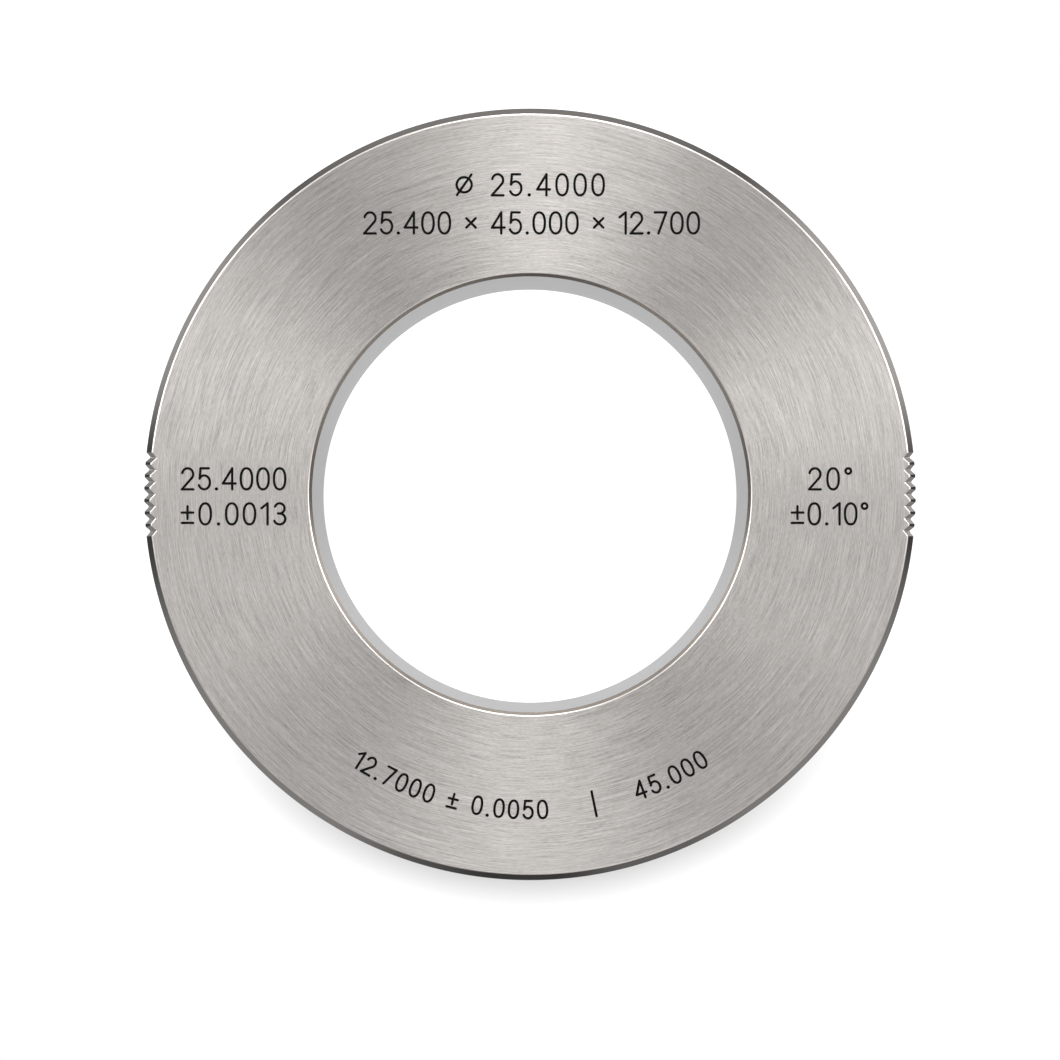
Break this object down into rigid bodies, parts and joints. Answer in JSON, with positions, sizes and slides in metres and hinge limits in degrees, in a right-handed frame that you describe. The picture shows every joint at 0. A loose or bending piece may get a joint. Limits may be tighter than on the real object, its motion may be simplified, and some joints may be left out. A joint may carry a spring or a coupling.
{
  "type": "setting ring gauge",
  "caption": "Plain steel setting ring with a lapped through bore, chamfered corners, a brushed marked face and serrated finger grips on both sides of its rim.",
  "frame": {"origin": "centre of the bore, on the plane of the back face that the ring lies on", "axes": "+Z along the bore out of the marked face; the serrated grips are on the +X and -X sides of the rim; +Y is the top of the marked face as its numbers read"},
  "size_m": [0.045, 0.045, 0.0127],
  "materials": {
    "ground_steel": "hardened steel: faces brushed round the bore, bore lapped, corners ground"
  },
  "bodies": {
    "root": {"setting_ring": "ground_steel"}
  },
  "joints": []
}
